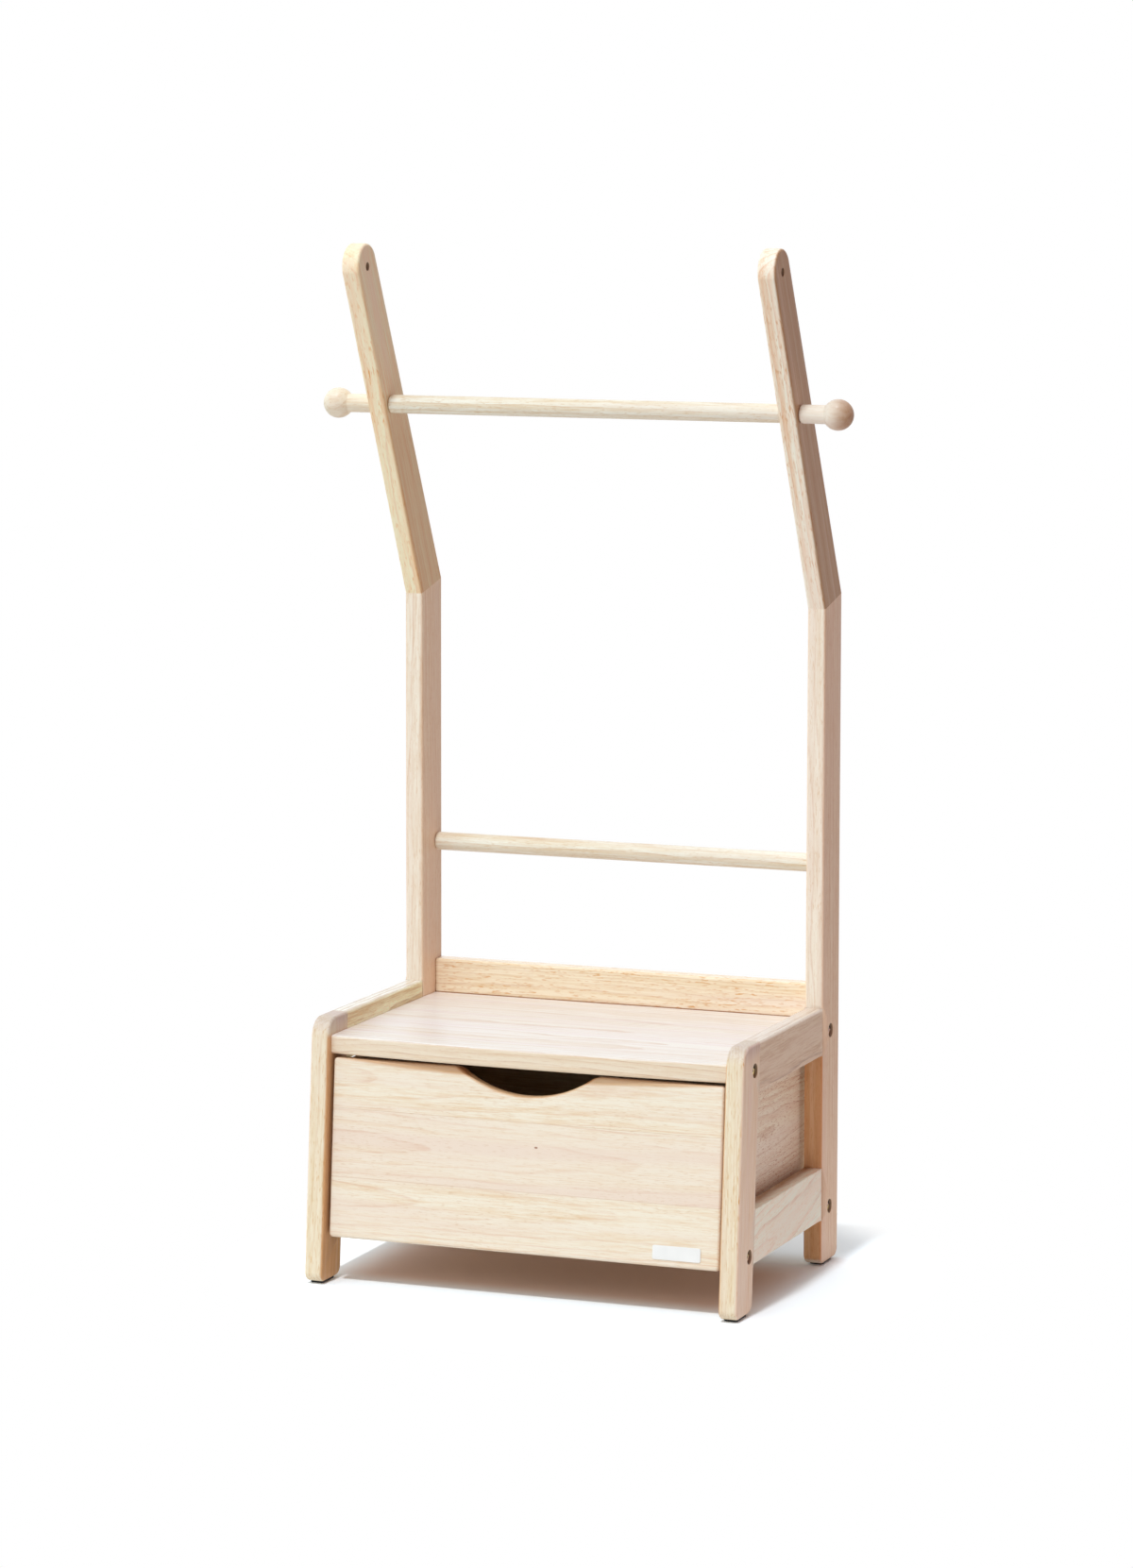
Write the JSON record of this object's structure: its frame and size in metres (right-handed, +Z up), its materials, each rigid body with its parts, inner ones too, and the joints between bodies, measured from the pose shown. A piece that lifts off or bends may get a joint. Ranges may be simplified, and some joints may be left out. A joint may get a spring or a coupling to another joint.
{
  "type": "clothes rack",
  "caption": "Child's wooden clothes rack: leaning arms with a hanging rod and ball pegs, a lower bar, a low bench and a pull-out box with a finger scoop.",
  "frame": {"origin": "on the floor, in the middle of the rack's outer box", "axes": "+X to the rack's right as seen from the front, +Y to the rack's back, +Z up; the box slides out towards -Y"},
  "size_m": [0.601, 0.332, 1.1],
  "materials": {
    "frame_wood": "satin clear lacquer on pale rubberwood",
    "bench_wood": "satin clear lacquer on edge-glued rubberwood",
    "turned_wood": "satin clear lacquer on turned rubberwood",
    "box_wood": "satin clear lacquer on edge-glued rubberwood",
    "panel_wood": "matt plywood",
    "dowel_wood": "bare fluted dowel",
    "yellow_zinc": "yellow zinc plate",
    "steel": "bright zinc plate",
    "pad_plastic": "black plastic glide"
  },
  "bodies": {
    "frame": {"front_leg_left": "frame_wood", "front_leg_right": "frame_wood", "rear_post_left": "frame_wood", "rear_post_right": "frame_wood", "post_arm_left": "frame_wood", "post_arm_right": "frame_wood", "top_side_rail_left": "frame_wood", "top_side_rail_right": "frame_wood", "lower_side_rail_left": "frame_wood", "lower_side_rail_right": "frame_wood", "hanging_rod": "turned_wood", "rod_knob_left": "turned_wood", "rod_knob_right": "turned_wood", "knob_studs": "steel", "lower_bar": "turned_wood", "back_rail": "frame_wood", "bench_top": "bench_wood", "front_stretcher": "frame_wood", "rear_stretcher": "frame_wood", "runner_left": "frame_wood", "runner_right": "frame_wood", "runner_screws": "yellow_zinc", "box_stops": "frame_wood", "side_bolts": "yellow_zinc", "barrel_nuts": "steel", "frame_dowels": "dowel_wood", "cross_dowels": "dowel_wood", "foot_pads": "pad_plastic"},
    "box": {"box_front": "box_wood", "box_side_left": "box_wood", "box_side_right": "box_wood", "box_back": "box_wood", "box_bottom": "panel_wood", "box_dowels": "dowel_wood"}
  },
  "joints": [
    {"name": "box_slide", "type": "slide", "parent": "frame", "child": "box", "axis": [0, -1, 0], "range_m": [0, 0.2]}
  ]
}
